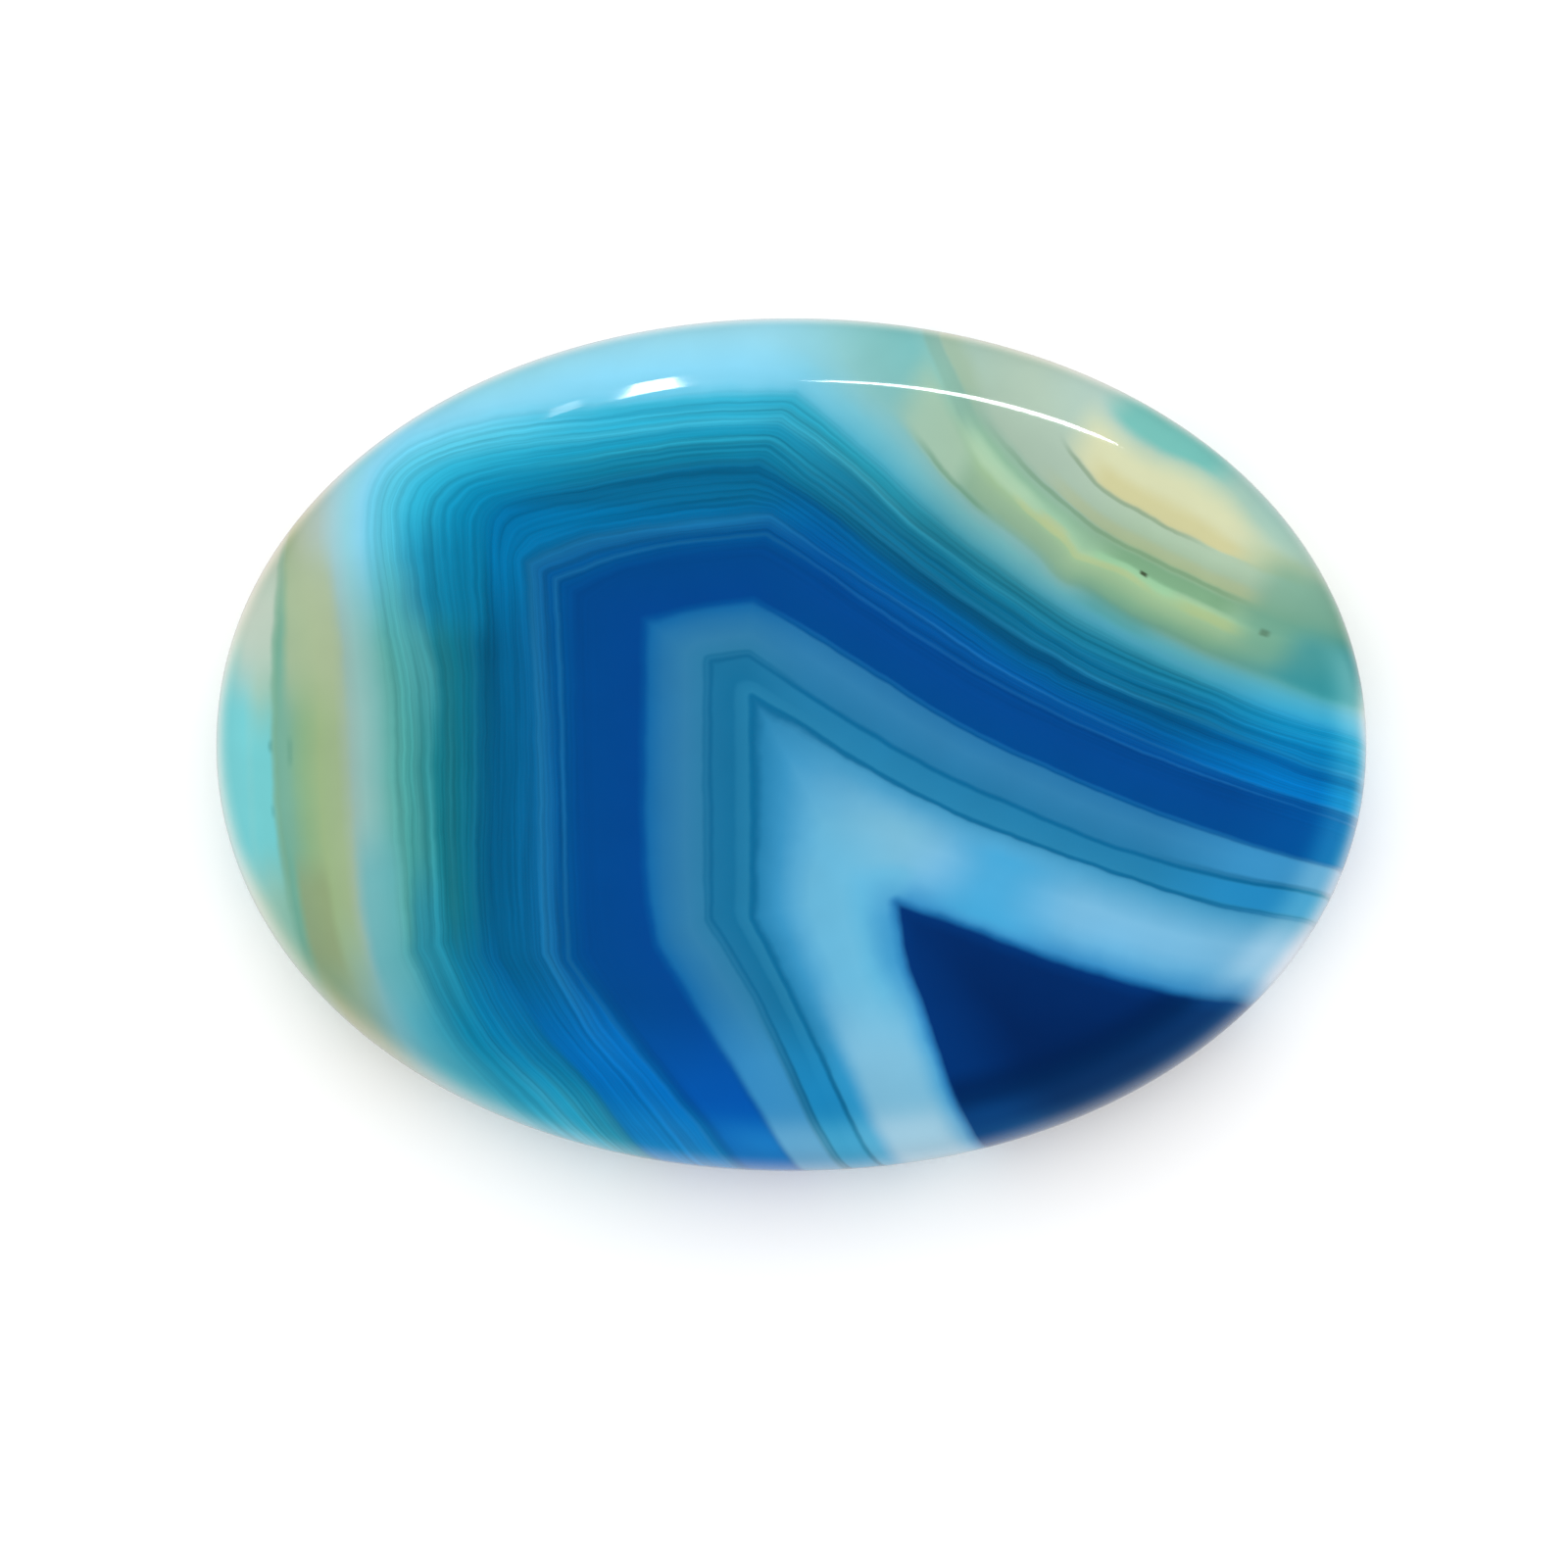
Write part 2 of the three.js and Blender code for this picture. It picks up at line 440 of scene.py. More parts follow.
def between(value, limits):
    """Grows from 0 to 1 over the first two limits and falls back to 0 over the last two."""
    start, full, fade, end = limits
    return math_node("MULTIPLY", rise(value, start, full), rise(value, end, fade))


def patched(colours, place, patches):
    """Colours with stains laid over them, some of which are painted light. A stain has a colour, a
    strength, limits on the ruler and limits along the wall."""
    for colour, strength, on_ruler, on_wall in patches:
        share = math_node("MULTIPLY", between(ruler_out, on_ruler), between(place, on_wall))
        colours = blend(colours, dyed(*colour), math_node("MULTIPLY", share, strength))
    return colours


def clouds(place, scale, detail=1.0):
    """Soft noise about 0, from roughly -0.5 to 0.5."""
    noise = add("TexNoise", {"Vector": place, "Scale": scale, "Detail": detail})
    return math_node("SUBTRACT", noise.outputs[0], 0.5)


bedding_place = add("Attribute", attribute_name="bedding").outputs["Vector"]
bed = add("SeparateXYZ", {0: bedding_place})
along, across = bed.outputs[0], bed.outputs[1]
flat_place = add("CombineXYZ", {0: along, 1: across}).outputs[0]
wavers_per_mm, waver_height = 0.8, 0.16
waver = math_node("MULTIPLY", clouds(flat_place, wavers_per_mm, 2.0), waver_height)
ruler_out = math_node("ADD", bed.outputs[2], waver)

# The inner sheets: the core's deep blue, a milky belt, two dark lines, grey blue, the deepest blue,
# two fine light lines and a dark line
right_inner = band_colours([
    (-3.0, (2, 38, 93)),
    (-0.6, (2, 43, 103)),
    (-0.15, (2, 52, 118)),
    (0.02, (26, 106, 167)),
    (0.2, (58, 144, 201)),
    (0.45, (80, 162, 212)),
    (0.8, (104, 180, 223)),
    (1.2, (119, 188, 227)),
    (1.75, (123, 190, 227)),
    (2.65, (82, 164, 206)),
    (2.9, (68, 154, 198)),
    (2.98, (14, 106, 153)),
    (3.08, (16, 110, 158)),
    (3.2, (40, 132, 177)),
    (4.45, (36, 128, 175)),
    (4.58, (14, 107, 156)),
    (4.7, (14, 106, 156)),
    (4.85, (39, 123, 171)),
    (6.2, (50, 129, 178)),
    (7.08, (42, 121, 174)),
    (7.18, (6, 88, 150)),
    (7.36, (16, 98, 164)),
    (7.5, (2, 75, 146)),
    (9.2, (3, 74, 149)),
    (10.3, (2, 71, 142)),
    (10.44, (20, 97, 165)),
    (10.56, (3, 78, 149)),
    (11.18, (6, 86, 157)),
    (11.3, (24, 107, 175)),
    (11.44, (4, 89, 160)),
    (12.6, (5, 96, 156)),
    (13.1, (6, 91, 142)),
])
left_inner = band_colours([
    (-0.15, (2, 52, 118)),
    (0.05, (44, 126, 186)),
    (0.25, (78, 166, 214)),
    (0.8, (100, 186, 224)),
    (1.2, (108, 188, 223)),
    (1.8, (104, 183, 219)),
    (2.15, (88, 171, 213)),
    (2.5, (60, 152, 200)),
    (2.85, (40, 133, 181)),
    (2.98, (14, 106, 153)),
    (3.1, (17, 111, 158)),
    (3.22, (36, 127, 170)),
    (3.6, (32, 122, 166)),
    (3.75, (22, 113, 158)),
    (4.45, (28, 117, 162)),
    (4.58, (17, 104, 150)),
    (4.74, (34, 119, 163)),
    (4.84, (28, 113, 157)),
    (4.96, (46, 127, 170)),
    (5.6, (51, 128, 173)),
    (6.5, (38, 118, 172)),
    (7.0, (22, 108, 170)),
    (7.25, (4, 84, 155)),
    (7.5, (2, 71, 146)),
    (9.7, (2, 73, 143)),
    (10.25, (2, 82, 146)),
    (10.4, (20, 103, 161)),
    (10.56, (3, 84, 147)),
    (11.35, (26, 114, 167)),
    (11.55, (10, 99, 152)),
    (12.4, (5, 95, 143)),
    (13.1, (5, 91, 135)),
])

# The outer sheets on the left and on top: teal with fine dark lines, aqua, then yellow green
left_outer = band_colours([
    (13.1, (4, 87, 130)),
    (13.7, (8, 94, 129)),
    (13.9, (18, 106, 135)),
    (14.1, (11, 103, 129)),
    (14.35, (20, 112, 136)),
    (14.5, (15, 109, 130)),
    (14.9, (30, 125, 142)),
    (15.15, (20, 116, 133)),
    (15.45, (28, 124, 136)),
    (15.7, (54, 144, 151)),
    (15.9, (50, 141, 146)),
    (16.15, (68, 154, 155)),
    (16.35, (66, 152, 151)),
    (16.8, (85, 166, 161)),
    (17.1, (103, 177, 171)),
    (17.6, (126, 186, 182)),
    (18.2, (145, 192, 187)),
    (18.7, (153, 187, 178)),
    (19.0, (160, 185, 161)),
    (19.4, (160, 184, 142)),
    (20.1, (157, 184, 136)),
    (20.7, (143, 181, 138)),
    (21.2, (130, 179, 148)),
    (21.7, (114, 177, 158)),
    (22.0, (142, 196, 178)),
    (23.4, (176, 214, 200)),
])
foot_outer = band_colours([
    (13.1, (1, 104, 174)),
    (13.8, (1, 99, 162)),
    (14.1, (2, 102, 161)),
    (14.5, (2, 107, 163)),
    (15.0, (2, 114, 165)),
    (15.6, (5, 124, 168)),
    (16.2, (14, 134, 172)),
    (17.0, (54, 158, 184)),
    (18.0, (88, 177, 195)),
    (19.0, (122, 184, 194)),
    (20.0, (142, 174, 158)),
    (21.0, (138, 162, 132)),
    (22.0, (128, 168, 142)),
    (23.4, (150, 196, 176)),
])
# On the upper left, the palest stops at the outline are partly painted reflection: the cream white that
# the rim mirrors from pale surroundings, painted into the colour.
high_left_outer = band_colours([
    (13.1, (2, 116, 168)),
    (14.0, (10, 138, 182)),
    (14.5, (22, 153, 194)),
    (15.1, (44, 178, 213)),
    (15.35, (50, 182, 216)),
    (15.8, (78, 196, 226)),
    (16.3, (92, 203, 230)),
    (17.0, (112, 206, 234)),
    (17.4, (138, 214, 240)),
    (18.0, (147, 212, 226)),
    (18.6, (161, 206, 214)),
    (19.1, (170, 200, 199)),
    (19.5, (174, 195, 186)),
    (20.4, (175, 190, 168)),
    (21.2, (164, 182, 150)),
    (21.6, (158, 180, 145)),
    (21.9, (190, 200, 181)),
    (23.4, (214, 218, 203)),
])
# On top, the palest stops, on the rounded edge past the crest, are partly the pale band itself and partly
# painted reflection of pale surroundings.
top_outer = band_colours([
    (13.1, (10, 105, 147)),
    (13.5, (20, 126, 165)),
    (13.65, (14, 125, 162)),
    (14.0, (23, 138, 174)),
    (14.15, (17, 130, 166)),
    (14.6, (39, 161, 193)),
    (14.85, (26, 154, 190)),
    (15.2, (35, 160, 196)),
    (15.55, (61, 181, 212)),
    (15.9, (45, 174, 208)),
    (16.2, (58, 184, 217)),
    (16.4, (48, 176, 211)),
    (16.8, (61, 184, 216)),
    (17.0, (86, 194, 225)),
    (17.3, (128, 212, 242)),
    (17.6, (140, 218, 247)),
    (18.3, (150, 214, 232)),
    (19.4, (150, 214, 226)),
])
left_stains = [
    # Aqua at the outline, with pale grey above it
    ((118, 209, 213), 0.95, (21.8, 22.05, 22.5, 23.1), (-7.0, -4.2, -1.2, 1.8)),
    ((120, 212, 218), 0.95, (22.3, 23.0, 24.0, 25.0), (-7.0, -4.2, 0.6, 4.2)),
    ((203, 213, 197), 0.7, (21.8, 22.1, 22.8, 23.6), (0.2, 3.6, 4.6, 6.6)),
    # The moss line, and green along its inner side
    ((118, 168, 138), 0.5, (21.6, 21.82, 21.9, 22.1), (-8.0, -5.0, 6.6, 8.4)),
    ((124, 178, 158), 0.6, (21.0, 21.5, 21.7, 21.9), (-5.6, -3.6, 2.0, 3.8)),
    # The yellow green sheet: straw above and olive below
    ((175, 192, 156), 0.75, (18.6, 19.4, 21.2, 21.8), (-0.5, 2.8, 5.0, 8.0)),
    ((148, 164, 122), 0.7, (19.9, 20.4, 21.2, 21.6), (-10.5, -8.5, -6.5, -4.5)),
    # Lighter and deeper places in the teal
    ((92, 177, 182), 0.4, (15.0, 15.5, 16.2, 17.0), (-1.5, 3.0, 4.5, 7.5)),
    ((98, 178, 186), 0.7, (16.5, 17.3, 18.3, 19.2), (-12.0, -9.0, -6.0, -3.0)),
    ((32, 136, 164), 0.6, (14.9, 15.6, 16.2, 16.8), (-12.5, -9.5, -7.5, -4.5)),
    ((8, 116, 158), 0.6, (13.2, 13.5, 14.8, 16.4), (3.2, 5.0, 6.4, 9.0)),
    # Three small flecks by the moss line
    ((88, 150, 128), 0.3, (21.1, 21.24, 21.3, 21.46), (-1.8, -1.3, -0.8, -0.3)),
    ((70, 140, 132), 0.35, (21.88, 21.98, 22.02, 22.14), (-1.15, -0.85, -0.75, -0.45)),
    ((84, 150, 142), 0.3, (21.92, 22.0, 22.04, 22.14), (-3.65, -3.35, -3.25, -2.95)),
]

# The outer sheets on the right: teal with fine dark lines, milky aqua, then greens and cream
peak_outer = band_colours([
    (13.1, (13, 94, 133)),
    (13.7, (14, 100, 136)),
    (14.0, (26, 116, 153)),
    (14.2, (18, 110, 147)),
    (14.4, (29, 121, 157)),
    (14.65, (15, 109, 145)),
    (14.9, (29, 124, 158)),
    (15.2, (22, 122, 156)),
    (15.5, (30, 130, 160)),
    (15.8, (59, 158, 181)),
    (16.2, (36, 146, 170)),
    (16.6, (44, 157, 182)),
    (17.05, (74, 176, 203)),
    (17.4, (98, 188, 210)),
    (18.0, (118, 197, 213)),
    (18.6, (134, 199, 206)),
    (19.1, (138, 198, 198)),
    (19.6, (132, 194, 192)),
    (20.3, (124, 191, 190)),
    (21.0, (140, 196, 190)),
    (21.8, (162, 197, 186)),
    (23.0, (164, 197, 184)),
    (25.4, (170, 203, 186)),
    (28.0, (166, 203, 190)),
])
near_outer = band_colours([
    (13.1, (6, 84, 130)),
    (13.7, (8, 88, 130)),
    (14.05, (25, 114, 154)),
    (14.3, (11, 106, 145)),
    (14.5, (21, 115, 154)),
    (14.75, (7, 98, 136)),
    (15.0, (21, 115, 150)),
    (15.35, (20, 116, 148)),
    (15.65, (37, 132, 160)),
    (16.0, (26, 120, 146)),
    (16.7, (42, 132, 153)),
    (17.1, (71, 156, 174)),
    (17.6, (95, 170, 182)),
    (18.2, (114, 181, 185)),
    (18.8, (132, 184, 181)),
    (19.1, (132, 177, 160)),
    (19.5, (144, 180, 151)),
    (20.0, (152, 186, 154)),
    (20.4, (162, 196, 156)),
    (20.7, (174, 207, 170)),
    (21.0, (164, 207, 174)),
    (21.4, (148, 192, 163)),
    (21.8, (152, 188, 168)),
    (22.1, (170, 195, 176)),
    (23.3, (178, 202, 184)),
    (25.4, (178, 206, 196)),
    (28.0, (166, 200, 194)),
])
middle_outer = band_colours([
    (13.1, (3, 79, 130)),
    (13.75, (5, 86, 134)),
    (14.1, (30, 122, 166)),
    (14.35, (14, 112, 155)),
    (14.6, (18, 114, 158)),
    (14.8, (5, 100, 143)),
    (15.1, (21, 115, 157)),
    (15.4, (16, 113, 153)),
    (15.75, (27, 125, 160)),
    (16.1, (19, 118, 151)),
    (16.5, (31, 128, 158)),
    (17.0, (57, 151, 176)),
    (17.4, (76, 162, 186)),
    (18.1, (90, 171, 184)),
    (18.6, (104, 172, 174)),
    (19.0, (113, 167, 153)),
    (19.25, (112, 163, 140)),
    (19.6, (130, 176, 143)),
    (20.0, (152, 189, 149)),
    (20.45, (167, 202, 156)),
    (20.75, (170, 208, 164)),
    (21.0, (150, 192, 155)),
    (21.6, (140, 180, 146)),
    (21.95, (156, 184, 146)),
    (22.5, (168, 194, 165)),
    (23.1, (178, 205, 178)),
    (24.2, (190, 210, 184)),
    (25.2, (169, 203, 186)),
    (26.2, (158, 200, 190)),
    (28.0, (160, 200, 192)),
])
far_outer = band_colours([
    (13.1, (2, 92, 160)),
    (13.6, (3, 101, 168)),
    (14.0, (20, 134, 196)),
    (14.2, (8, 124, 186)),
    (14.4, (13, 131, 193)),
    (14.7, (4, 118, 178)),
    (15.0, (13, 135, 193)),
    (15.7, (21, 147, 200)),
    (16.0, (12, 138, 190)),
    (16.6, (28, 150, 200)),
    (17.0, (44, 161, 209)),
    (17.5, (60, 173, 213)),
    (18.2, (76, 177, 208)),
    (18.7, (80, 173, 191)),
    (19.0, (72, 165, 175)),
    (19.4, (56, 153, 162)),
    (20.4, (74, 156, 152)),
    (21.0, (86, 160, 150)),
    (21.6, (90, 156, 142)),
    (22.3, (121, 168, 150)),
    (23.2, (134, 179, 159)),
    (24.2, (152, 187, 170)),
    (28.0, (158, 198, 186)),
])
right_inner_stains = [
    # Clouds in the milk: one bluer and two paler
    ((70, 171, 221), 0.9, (0.0, 0.5, 2.2, 3.0), (0.2, 2.6, 3.0, 6.2)),
    ((126, 192, 216), 0.6, (0.4, 1.2, 1.9, 2.8), (-6.0, -4.0, -1.0, 1.2)),
    ((106, 187, 221), 0.6, (0.1, 0.3, 0.8, 1.2), (-1.6, -0.9, -0.3, 0.4)),
    # The inner sheets turn bluer towards the right end
    ((3, 121, 199), 0.85, (10.9, 11.5, 13.4, 14.0), (5.0, 11.0, 20.0, 21.0)),
    ((2, 92, 170), 0.8, (7.3, 7.6, 10.2, 11.0), (8.5, 14.0, 20.0, 21.0)),
    ((64, 156, 211), 0.8, (4.9, 5.2, 6.9, 7.4), (6.5, 12.0, 20.0, 21.0)),
    ((36, 146, 208), 0.7, (3.1, 3.3, 4.4, 4.6), (6.5, 12.0, 20.0, 21.0)),
    ((60, 150, 200), 0.5, (2.9, 2.98, 3.04, 3.14), (9.0, 13.0, 20.0, 21.0)),
]
left_inner_stains_and_painted_light = [
    # Brighter blue in the upper left corner, teal along the top and a blue cloud by the core's tip
    ((3, 118, 174), 0.85, (11.0, 12.2, 13.4, 13.6), (3.0, 7.0, 8.3, 9.1)),
    ((9, 106, 150), 0.85, (11.2, 12.2, 13.3, 13.6), (8.3, 9.1, 12.0, 14.0)),
    ((50, 148, 203), 0.45, (0.0, 0.1, 0.3, 1.0), (-10.5, -8.8, -7.6, -6.6)),
    # The inner sheets turn bluer and lighter towards the foot: partly their own colour, partly painted
    # light that makes up for the tent's weaker light on this side
    ((46, 158, 212), 0.75, (2.0, 2.5, 2.85, 2.95), (-19.0, -18.0, -14.5, -11.5)),
    ((30, 144, 203), 0.8, (3.0, 3.2, 4.4, 4.6), (-19.0, -18.0, -14.5, -10.5)),
    ((134, 195, 224), 0.8, (0.1, 0.8, 2.0, 2.7), (-19.0, -18.0, -13.0, -9.5)),
    ((62, 151, 207), 0.8, (4.9, 5.2, 6.8, 7.4), (-19.0, -18.0, -14.5, -10.0)),
    ((3, 94, 190), 0.8, (6.9, 7.6, 9.4, 10.3), (-19.0, -18.0, -15.0, -10.5)),
    ((4, 116, 200), 0.8, (9.9, 10.6, 13.2, 13.6), (-19.0, -18.0, -13.5, -9.0)),
]
right_stains = [
    # The green sheets: teal below the kink, paler near the peak, with a thin dark line inside them
    ((78, 156, 152), 0.45, (17.7, 18.4, 19.0, 19.4), (0.8, 2.2, 3.4, 4.8)),
    ((172, 203, 178), 0.8, (18.8, 19.4, 20.2, 20.7), (-7.6, -6.0, -4.6, -3.6)),
    ((132, 176, 160), 0.6, (20.5, 20.9, 21.5, 21.8), (-10.0, -8.5, -5.2, -3.8)),
    ((108, 156, 128), 0.6, (19.0, 19.16, 19.2, 19.4), (-6.6, -4.8, -3.4, -2.4)),
    # Yellow and light green along the yellow green line
    ((180, 215, 182), 0.6, (20.3, 20.7, 20.95, 21.4), (-5.0, -3.6, -1.8, -0.6)),
    ((190, 202, 150), 0.6, (20.3, 20.6, 20.8, 21.1), (-1.3, -0.7, -0.2, 0.4)),
    ((158, 213, 168), 0.6, (20.5, 20.75, 20.95, 21.2), (0.9, 1.6, 4.0, 4.8)),
    ((118, 168, 128), 0.6, (20.9, 21.1, 21.5, 21.7), (1.0, 2.6, 5.8, 7.0)),
    ((182, 198, 136), 0.5, (20.15, 20.4, 20.6, 20.85), (4.2, 5.4, 6.3, 7.6)),
    ((190, 204, 146), 0.5, (20.3, 20.46, 20.58, 20.8), (-2.4, -1.6, 2.6, 4.0)),
    # The moss line, with grey green and straw on its outer side
    ((104, 148, 110), 0.45, (21.64, 21.76, 21.84, 21.94), (-4.6, -1.0, 5.4, 7.6)),
    ((160, 184, 152), 0.5, (21.5, 21.8, 21.95, 22.4), (-10.0, -9.0, -5.4, -4.0)),
    ((180, 190, 146), 0.5, (21.9, 22.05, 22.3, 22.7), (-2.0, 0.2, 6.4, 7.8)),
    # The cream, yellower low down and greener at its end, and the thin dark line under it
    ((220, 223, 182), 0.95, (23.4, 23.62, 24.4, 25.4), (-1.6, 0.0, 5.0, 7.4)),
    ((212, 205, 146), 0.6, (23.42, 23.56, 23.8, 24.3), (-0.4, 0.8, 5.4, 6.8)),
    ((176, 194, 150), 0.5, (23.2, 23.5, 24.2, 25.0), (5.4, 7.0, 7.6, 8.8)),
    ((120, 146, 108), 0.5, (23.3, 23.4, 23.44, 23.54), (-1.6, -0.5, 3.0, 5.4)),
    # Teal past the cream and at the right end
    ((112, 192, 184), 0.9, (25.0, 25.6, 26.4, 27.2), (-1.4, 0.4, 3.2, 4.8)),
    ((108, 167, 146), 0.6, (19.2, 20.4, 23.4, 25.4), (6.4, 7.8, 9.4, 10.8)),
    ((58, 150, 158), 0.7, (18.9, 19.4, 20.4, 22.4), (8.2, 9.6, 13.0, 14.0)),
    # Two dark specks
    ((58, 66, 44), 0.9, (20.84, 20.95, 21.03, 21.12), (2.92, 3.08, 3.18, 3.36)),
    ((80, 110, 84), 0.6, (20.6, 20.76, 20.9, 21.1), (7.6, 7.8, 7.9, 8.15)),
]

# Which wall a place is on: how far it is past the line on which the sheets peak, and how far down
# the right wall, counted from near the kink in the green sheets
peak_line_lean, peak_line_start = 0.1, -1.7
right_wall_run, right_wall_fall, kink_place = 0.82, -0.38, 5.7
peak_line = math_node("MULTIPLY_ADD", across, peak_line_lean, peak_line_start)
past_peak = math_node("SUBTRACT", along, peak_line)
on_right = rise(past_peak, -2.0, 4.0)
down_right = math_node("MULTIPLY_ADD", across, right_wall_fall, -kink_place)
down_right = math_node("MULTIPLY_ADD", along, right_wall_run, down_right)

# Each wall's colours run into its neighbour's between the two places given
left_wall = blend(left_outer, high_left_outer, rise(across, 2.5, 8.0))
left_wall = blend(left_wall, foot_outer, rise(across, -6.5, -12.0))
left_wall = patched(left_wall, across, left_stains)
left_or_top = blend(left_wall, top_outer, rise(along, -13.0, -6.5))
right_wall = blend(peak_outer, near_outer, rise(down_right, -8.0, -3.0))
right_wall = blend(right_wall, middle_outer, rise(down_right, -1.5, 3.0))
right_wall = blend(right_wall, far_outer, rise(down_right, 5.5, 11.0))
right_wall = patched(right_wall, down_right, right_stains)
inner_right = patched(right_inner, down_right, right_inner_stains)
outer_sheets = blend(left_or_top, right_wall, on_right)
inner_left = patched(left_inner, across, left_inner_stains_and_painted_light)

# Below their corner, the line on which the inner sheets turn runs down to the right
inner_corner, corner_line_lean = 1.3, -0.7
below_corner = math_node("MAXIMUM", math_node("SUBTRACT", inner_corner, across), 0.0)
past_corner = math_node("MULTIPLY_ADD", below_corner, corner_line_lean, past_peak)
inner_sheets = blend(inner_left, inner_right, rise(past_corner, -1.2, 2.4))
colours = blend(inner_sheets, outer_sheets, rise(ruler_out, 12.9, 13.3))

# Fine sheets, each a little denser or thinner than the next, and soft clouds over all of them
sheets_per_mm, drift_along_wall = 6.0, 0.1
clouds_per_mm, cloud_contrast = 0.45, 0.12
finely_layered = between(ruler_out, (8.5, 11.5, 16.2, 17.6))
sheet_place = add("CombineXYZ", {
    0: math_node("MULTIPLY", ruler_out, sheets_per_mm),
    1: math_node("MULTIPLY", along, drift_along_wall),
    2: math_node("MULTIPLY", across, drift_along_wall),
}).outputs[0]
sheets = math_node("MULTIPLY", clouds(sheet_place, 1.0, 3.0), finely_layered)
milk = math_node("MULTIPLY", clouds(flat_place, clouds_per_mm, 2.0), cloud_contrast)
density = math_node("ADD", math_node("ADD", sheets, 1.0), milk)
colours = add("VectorMath", {0: colours, "Scale": density}, operation="SCALE").outputs[0]

# Painted glow: light that comes in round the edge is painted into the colour, so the sheets there are
# made paler, the red in them most, and at the outline the paling is also painted reflection. Each
# painted glow below holds the powers to which red, green and blue are raised: 1 leaves a colour as it
# is, and less makes it paler.
rim_place = add("Attribute", attribute_name="rim").outputs["Fac"]
# Over the core, a band on the rounded edge just inside the paler outline is made darker.
darker_core_colour, core_edge_band_strength = dyed(1, 35, 84), 0.7
core_edge_band = math_node("MULTIPLY", between(rim_place, (0.2, 0.45, 0.52, 0.72)), rise(ruler_out, 0.1, -0.3))
colours = blend(colours, darker_core_colour, math_node("MULTIPLY", core_edge_band, core_edge_band_strength))

# The painted glow and painted reflection at the rim, region by region
no_painted_glow = (1.0, 1.0, 1.0, 1.0)
blues_painted_glow = (0.75, 0.85, 0.9, 1.0)
ends_painted_glow = (0.64, 0.69, 0.71, 1.0)
outline_painted_glow_and_reflection = (0.45, 0.62, 0.72, 1.0)
low_left_outline_painted_glow_and_reflection = (0.6, 0.72, 0.79, 1.0)
far_right_outline_painted_glow_and_reflection = (0.27, 0.42, 0.51, 1.0)
green_outline_painted_glow_and_reflection = (0.9, 0.94, 0.96, 1.0)

far_right = math_node("MULTIPLY", rise(down_right, 7.0, 12.0), between(ruler_out, (0.1, 1.0, 20.0, 21.6)))
foot = math_node("MULTIPLY", rise(across, -13.5, -15.5), between(ruler_out, (0.1, 1.0, 8.0, 11.0)))
low_left = math_node("MULTIPLY", rise(across, -4.0, -9.0), rise(past_corner, 1.0, -2.0))
far_greens = math_node("MULTIPLY", rise(ruler_out, 19.0, 20.5), rise(down_right, -3.0, 3.0))

blues_painted_glow_share = math_node("MULTIPLY", rise(rim_place, 0.35, 0.8), rise(ruler_out, 18.0, 13.0))
ends_painted_glow_share = math_node("MULTIPLY", rise(rim_place, 0.45, 0.8), math_node("MAXIMUM", far_right, foot))
outline_painted_glow_share = rise(rim_place, 0.76, 0.97)
outline = blend(outline_painted_glow_and_reflection, low_left_outline_painted_glow_and_reflection, low_left)
outline = blend(outline, far_right_outline_painted_glow_and_reflection, far_right)
outline = blend(outline, green_outline_painted_glow_and_reflection, far_greens)
painted_glow_powers = blend(no_painted_glow, blues_painted_glow, blues_painted_glow_share)
painted_glow_powers = blend(painted_glow_powers, ends_painted_glow, ends_painted_glow_share)
painted_glow_powers = blend(painted_glow_powers, outline, outline_painted_glow_share)
colours = add("VectorMath", {0: colours, 1: painted_glow_powers}, operation="POWER").outputs[0]

surface = add("BsdfPrincipled", {
    "Base Color": colours,
    "Roughness": 0.05,
    "IOR": 1.54,
})
add("OutputMaterial", {"Surface": surface.outputs[0]})
stone_mesh.materials.append(agate)

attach(stone, "root")
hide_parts("worry_stone")


# The floor
# A plain white board that the stone lies on, a hair under it so that the two faces never coincide.
floor_reach = 1.5
floor_gap = 0.02 * MM
corners = [(-1, -1), (1, -1), (1, 1), (-1, 1)]
floor_mesh = bpy.data.meshes.new("floor")
places = [(x * floor_reach, y * floor_reach, -floor_gap) for x, y in corners]
floor_mesh.from_pydata(places, [], [(0, 1, 2, 3)])
floor = bpy.data.objects.new("floor", floor_mesh)
bpy.context.scene.collection.objects.link(floor)
board = bpy.data.materials.new("white_board")
board.use_nodes = True
board.node_tree.nodes["Principled BSDF"].inputs["Base Color"].default_value = (0.95, 0.95, 0.95, 1)
board.node_tree.nodes["Principled BSDF"].inputs["Roughness"].default_value = 0.9
board.node_tree.nodes["Principled BSDF"].inputs["Specular IOR Level"].default_value = 0.0
floor_mesh.materials.append(board)
floor.visible_glossy = False  # the gloss mirrors the dark room, not the board
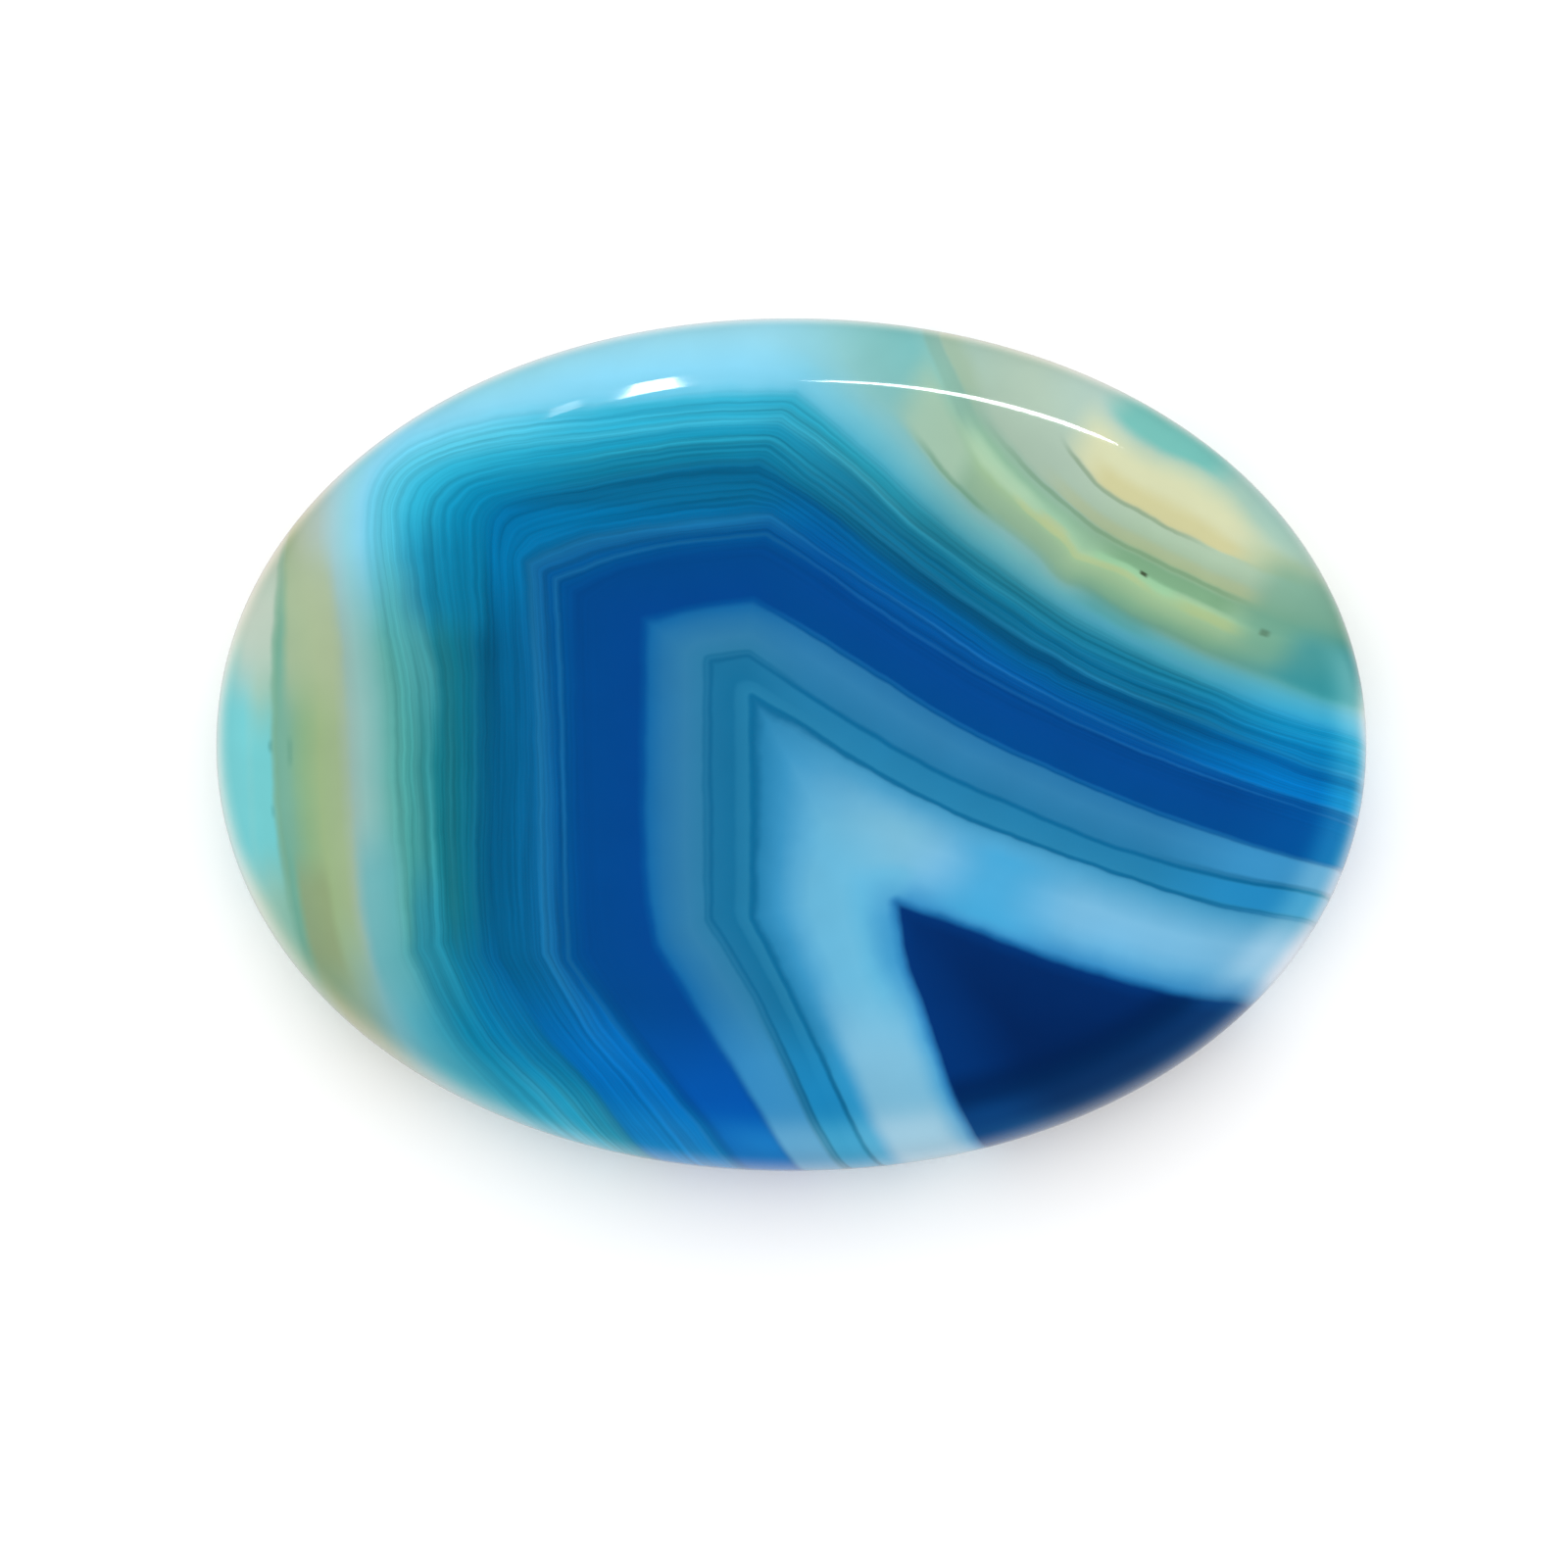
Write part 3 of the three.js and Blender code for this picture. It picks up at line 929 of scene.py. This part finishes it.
floor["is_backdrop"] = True


# The lights
# A white tent round the stone gives the soft light, a little more of it from the far side. Three
# lamps beyond the far side show only in the gloss, as the highlights on the crest. Apart from them
# the gloss mirrors a dark room that turns pale low down.
def lamp(name, azimuth, polar, distance, wide, tall, turn, radiance):
    """A lamp that faces the stone, at an azimuth to the right of +Y and an angle from straight up,
    turned about its own axis, all in degrees. Its power is its radiance times its area times pi."""
    data = bpy.data.lights.new(name, "AREA")
    data.shape = "RECTANGLE"
    data.size, data.size_y = wide, tall
    data.energy = radiance * wide * tall * math.pi
    made = bpy.data.objects.new(name, data)
    a, p = math.radians(azimuth), math.radians(polar)
    outward = Vector((math.sin(a) * math.sin(p), math.cos(a) * math.sin(p), math.cos(p)))
    made.location = outward * distance
    facing = outward.to_track_quat("Z", "Y") @ Quaternion((0, 0, 1), math.radians(turn))
    made.rotation_euler = facing.to_euler()
    bpy.context.scene.collection.objects.link(made)
    return made


box = lamp("box", -9.9, 34.5, 0.5, 0.018, 0.115, 0, 26)
box.visible_diffuse = False
faint_box = lamp("faint_box", -17.1, 35.2, 0.5, 0.013, 0.08, 0, 4.0)
faint_box.visible_diffuse = False
strip = lamp("strip", 17.3, 34.6, 0.5, 0.02, 0.2, -37, 28)
strip.data.shape = "ELLIPSE"
strip.visible_diffuse = False

world = bpy.data.worlds.new("studio")
bpy.context.scene.world = world
world.use_nodes = True
tree = world.node_tree
tree.nodes.clear()
tent_light, far_side_gain = 1.28, 0.35
room_dark, pale_below = 0.015, 0.6
paling_starts, paling_ends = -0.45, -0.9
heading = add("SeparateXYZ", {0: add("TexCoord").outputs["Generated"]})
tent = math_node("MULTIPLY_ADD", heading.outputs[1], far_side_gain, tent_light)
low_down = rise(heading.outputs[2], paling_starts, paling_ends)
room = math_node("MULTIPLY_ADD", low_down, pale_below, room_dark)
mirrored = add("LightPath").outputs["Is Glossy Ray"]
strength = math_node("ADD", tent, math_node("MULTIPLY", mirrored, math_node("SUBTRACT", room, tent)))
background = add("Background", {"Color": (1, 1, 1, 1), "Strength": strength})
add("OutputWorld", {"Surface": background.outputs[0]})

bpy.context.scene.view_settings.view_transform = "Standard"

low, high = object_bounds()
